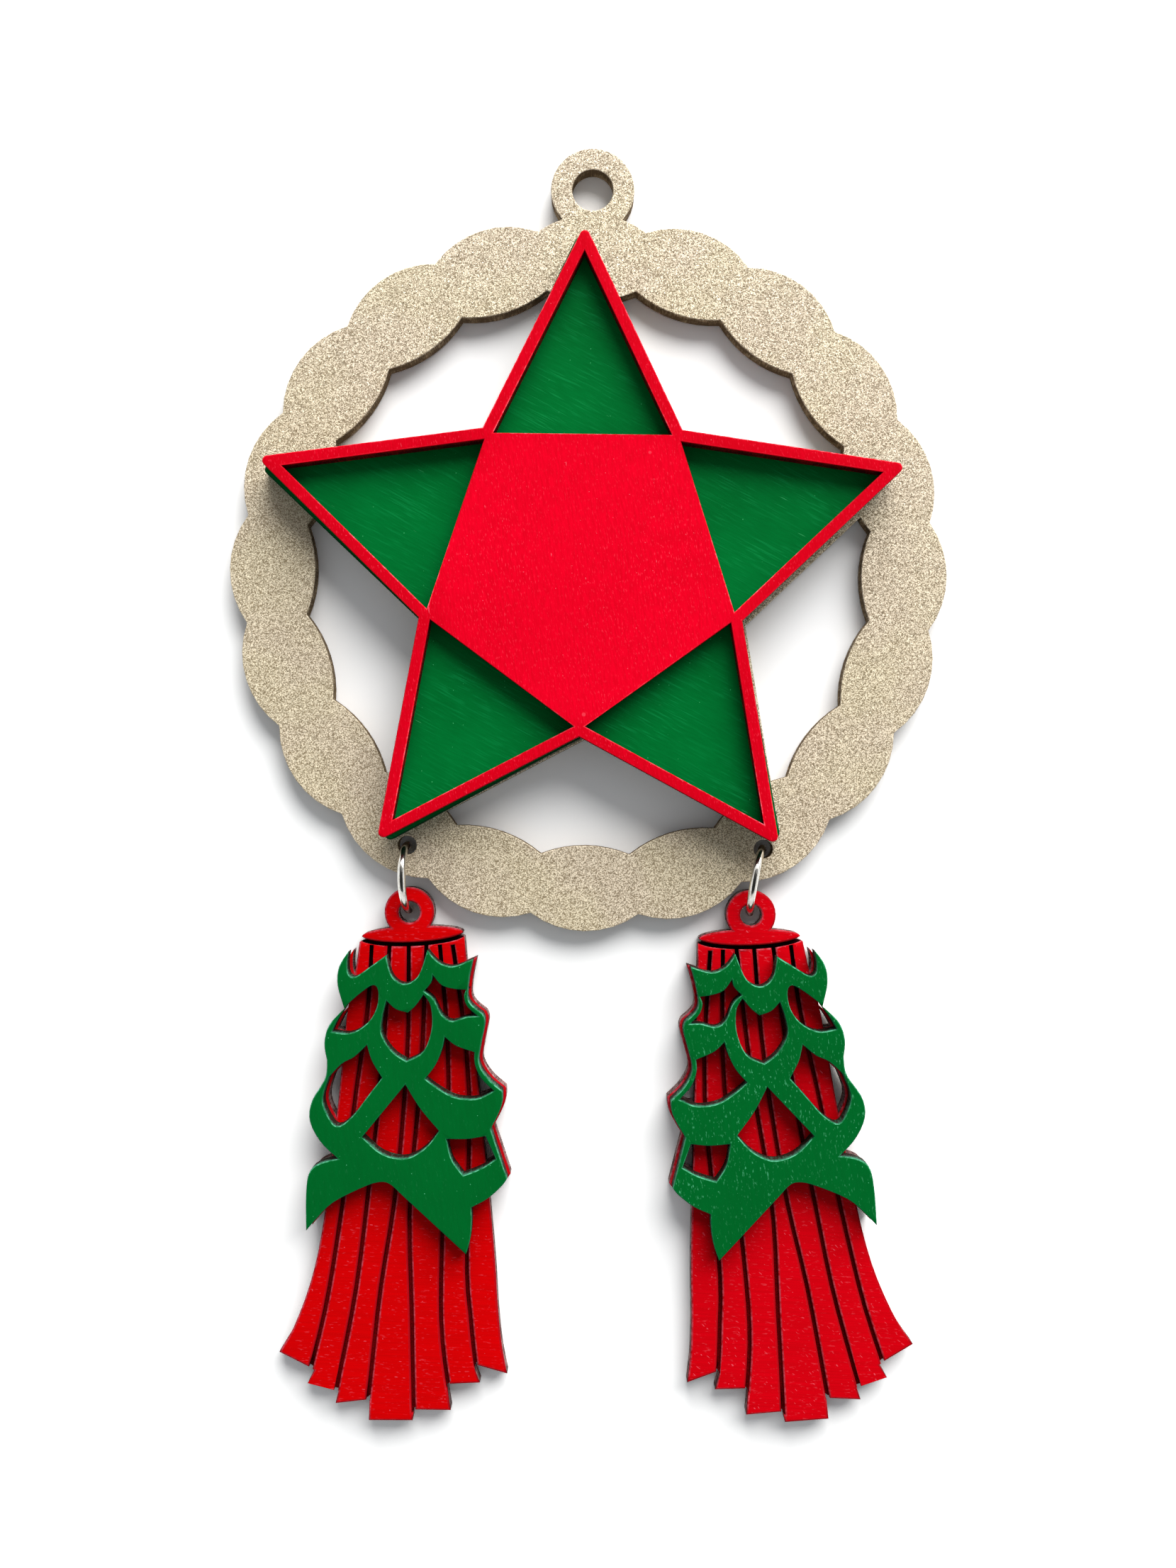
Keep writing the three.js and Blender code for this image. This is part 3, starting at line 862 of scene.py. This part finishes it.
print("at most", TRIES, "tries to settle a face")

# %% Round one flat face
HALFWAY = 1 - math.sqrt(0.5)


def in_sheet(vectors, mirror):
    return [Vector((mirror * vector.x, vector.z)) / MM for vector in vectors]


def loop_edges(loops):
    """Pairs of neighbours, numbered on through all loops."""
    edges = []
    for loop in loops:
        start = len(edges)
        edges += [(start + step, start + (step + 1) % len(loop)) for step in range(len(loop))]
    return edges


def round_face(shape, depth, normal, width, finish, rim_finish):
    flat = [face for face in shape.faces if lies_flat(face, depth)]
    loops = rim_loops(flat)
    bmesh.ops.delete(shape, geom=flat, context="FACES")
    rim = [corner for loop in loops for corner in loop]
    points = [corner.co.copy() for corner in rim]
    moves = [move for loop in loops for move in set_in([corner.co for corner in loop], normal, width)]
    edges = loop_edges(loops)
    mirror = -normal.y
    shares, spots, triangles = settle(in_sheet(points, mirror), in_sheet(moves, mirror), edges)
    moves = [move * share for move, share in zip(moves, shares)]
    middle = [shape.verts.new(p + (m - normal * RIM) * HALFWAY) for p, m in zip(points, moves)]
    inner = [shape.verts.new(p + m) for p, m in zip(points, moves)]
    for corner in rim:
        corner.co -= normal * RIM
    for lower, upper in ((rim, middle), (middle, inner)):
        for first, second in edges:
            band = shape.faces.new((lower[first], lower[second], upper[second], upper[first]))
            band.material_index = rim_finish
    for triangle in triangles:
        if on_wood(sum((spots[index] for index in triangle), Vector((0, 0))) / 3, spots, edges):
            shape.faces.new([inner[index] for index in triangle]).material_index = finish
    return len(loops)


print("the bands of a rim meet", round(HALFWAY * RIM / MM, 3), "mm below the face")

# %% [markdown]
# ## One helper for all plates
# Every plate is a copy of its CAD sheet with both faces rounded. Its faces get one of five finishes: the
# painted face, the worn rim with its painted highlight, the cut edge, the bare back, and the grooves,
# which are told from the edge by how deep they reach. A piece rides on the body that it moves with, and
# stands in for its CAD node.

# %% Plate helper
PAINTED, WORN_HIGHLIT_RIM, EDGE, BACK, GROOVE = range(5)
MERGE = 0.004 * MM
SHARP = math.radians(50)
FRONTWARD = Vector((0, -1, 0))


def wall_finish(face, groove_floor):
    deepest = max(corner.co.y for corner in face.verts)
    return GROOVE if groove_floor and deepest < groove_floor + TOUCH else EDGE


def show_piece(name, shape, finishes, body, node):
    """A mesh as a piece that rides on a body and stands for a CAD node."""
    for face in shape.faces:
        face.smooth = True
    mesh = bpy.data.meshes.new(name)
    shape.to_mesh(mesh)
    shape.free()
    mesh.set_sharp_from_angle(angle=SHARP)
    for finish in finishes:
        mesh.materials.append(finish)
    piece = add_object(name, mesh)
    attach(piece, body)
    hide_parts(node)
    return piece


def plate(node, body, finishes, width=RIM):
    low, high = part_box(node)
    shape = bmesh.new()
    shape.from_mesh(frame["nodes"][node].data)
    bmesh.ops.remove_doubles(shape, verts=shape.verts, dist=MERGE)
    shape.normal_update()
    floors = [face.calc_center_median().y for face in shape.faces if face.normal.y < -FACING]
    groove_floor = max(floors) if max(floors) > low.y + TOUCH else None
    for face in shape.faces:
        face.material_index = wall_finish(face, groove_floor)
    # The front rim gets the worn rim finish with its painted highlight.
    loops = round_face(shape, low.y, FRONTWARD, width, PAINTED, WORN_HIGHLIT_RIM)
    loops += round_face(shape, high.y, -FRONTWARD, RIM, BACK, EDGE)
    piece = show_piece(node + "_cut", shape, finishes, body, node)
    level_faces = piece.modifiers.new("level_faces", "WEIGHTED_NORMAL")
    level_faces.keep_sharp = True
    print(piece.name, loops, "rims,", len(piece.data.polygons), "faces")


print("finishes of a plate: face, rim, edge, back, groove")

# %% [markdown]
# ## The star and its ring
# Three sheets are glued face to face: the gold plate with the ring, a green star that shows in the
# windows, and a red star frame on top. They could be one solid in three colours, but the real sheets
# show their edges and shade each other, so each is a plate of its own with its own finishes.

# %% Star and ring
plate("base_plate", "ornament", [GOLD, GOLD, GOLD_EDGE, BIRCH])
plate("star_panel", "ornament", [GREEN_STAR, GREEN_RIM, GREEN_EDGE, BIRCH])
plate("star_frame", "ornament", [RED_STAR, RED_RIM, RED_EDGE, BIRCH])

# %% [markdown]
# ## The tassels
# A tassel is two sheets: red strands with engraved grooves, and green leaves on top. The strands are
# more worn, so their rims are wider. Both sheets of one tassel ride on the same body, so they swing
# together.

# %% Tassels
for side in ("left", "right"):
    tassel = "tassel_" + side
    strand_finishes = [RED_TASSEL[side], TASSEL_RIM, TASSEL_EDGE, BIRCH, GROOVE_FINISH]
    leaf_finishes = [GREEN_LEAF[side], LEAF_RIM, LEAF_EDGE, BIRCH]
    plate("tassel_plate_" + side, tassel, strand_finishes, WIDE_RIM)
    plate("tassel_overlay_" + side, tassel, leaf_finishes)

# %% [markdown]
# ## Jump rings
# A jump ring is a round of nickel-plated wire, cut once so that it can be twisted open. The CAD ring
# has coarse sides, which show in a mirror finish. It could be smoothed with a subdivision, but that
# would shrink the wire and round the cut. So it is swept afresh: the joint gives its middle and axis,
# and the widest gap between the CAD points gives the place of the cut.

# %% Polished wire finish
WIRE_RELIEF = 0.004


def polished_wire():
    metal = Finish("polished_nickel")
    wear = metal.noise(metal.place(1.5), detail=4, rough=0.6)
    scratch = metal.noise(metal.place((9, 1.2, 1.2)))
    dulled = metal.step(wear, 0.4, 0.8)
    return metal.surface(
        Base_Color=metal.mix(dulled, tint(228, 226, 220), tint(196, 190, 180)),
        Metallic=1.0,
        Roughness=0.1 + 0.14 * wear,
        Normal=metal.bump(scratch, WIRE_RELIEF),
    )


NICKEL = polished_wire()
print("made", NICKEL.name)

# %% Swept wire
WIRE_STEPS = 128
WIRE_SIDES = 20
CUT_END = 0.82
BLUNT_LENGTH = 0.12


def ring_sizes(arms, up, across):
    """Radius, wire radius, and where the ring starts and how far it sweeps, from the CAD points."""
    reaches = [math.hypot(arm.dot(up), arm.dot(across)) for arm in arms]
    turns = sorted(math.atan2(arm.dot(across), arm.dot(up)) for arm in arms)
    gaps = [(after - before, after) for before, after in zip(turns, turns[1:])]
    gaps.append((turns[0] + math.tau - turns[-1], turns[0]))
    gap, start = max(gaps)
    radius = (max(reaches) + min(reaches)) / 2
    wire = (max(reaches) - min(reaches)) / 2
    return radius, wire, start, math.tau - gap


def wire_stations(blunt, sweep):
    """How far round each section of the wire lies, and its size: the cut ends are blunted."""
    steps = [blunt + (sweep - 2 * blunt) * step / WIRE_STEPS for step in range(WIRE_STEPS + 1)]
    return [(0.0, CUT_END), *((turn, 1.0) for turn in steps), (sweep, CUT_END)]


def skin(shape, sections):
    """Faces from section to section and over both ends."""
    for first, second in zip(sections, sections[1:]):
        for side in range(WIRE_SIDES):
            after = (side + 1) % WIRE_SIDES
            shape.faces.new((first[side], first[after], second[after], second[side]))
    shape.faces.new(sections[0][::-1])
    shape.faces.new(sections[-1])
    bmesh.ops.recalc_face_normals(shape, faces=shape.faces)


print("a wire has", WIRE_STEPS, "steps and", WIRE_SIDES, "sides")


# %% Jump rings
def jump_ring(node, joint_name, body):
    joint = next(joint for joint in frame["joints"] if joint["name"] == joint_name)
    middle = Vector(joint["pos_m"])
    axis = Vector(joint["axis"]).normalized()
    up = (Vector((0, 0, 1)) - axis * axis.z).normalized()
    across = axis.cross(up)
    arms = [corner.co - middle for corner in frame["nodes"][node].data.vertices]
    radius, wire, start, sweep = ring_sizes(arms, up, across)
    shape = bmesh.new()
    sections = []
    for turn, size in wire_stations(BLUNT_LENGTH * wire / radius, sweep):
        outward = math.cos(start + turn) * up + math.sin(start + turn) * across
        section = []
        for side in range(WIRE_SIDES):
            angle = math.tau * side / WIRE_SIDES
            reach = radius + size * wire * math.cos(angle)
            spot = middle + reach * outward + size * wire * math.sin(angle) * axis
            section.append(shape.verts.new(spot))
        sections.append(section)
    skin(shape, sections)
    show_piece(node + "_wire", shape, [NICKEL], body, node)
    print(node, "radius", round(radius / MM, 2), "mm, wire", round(2 * wire / MM, 2), "mm")


for side in ("left", "right"):
    jump_ring("jump_ring_" + side, f"ring_{side}_swing", "ring_" + side)
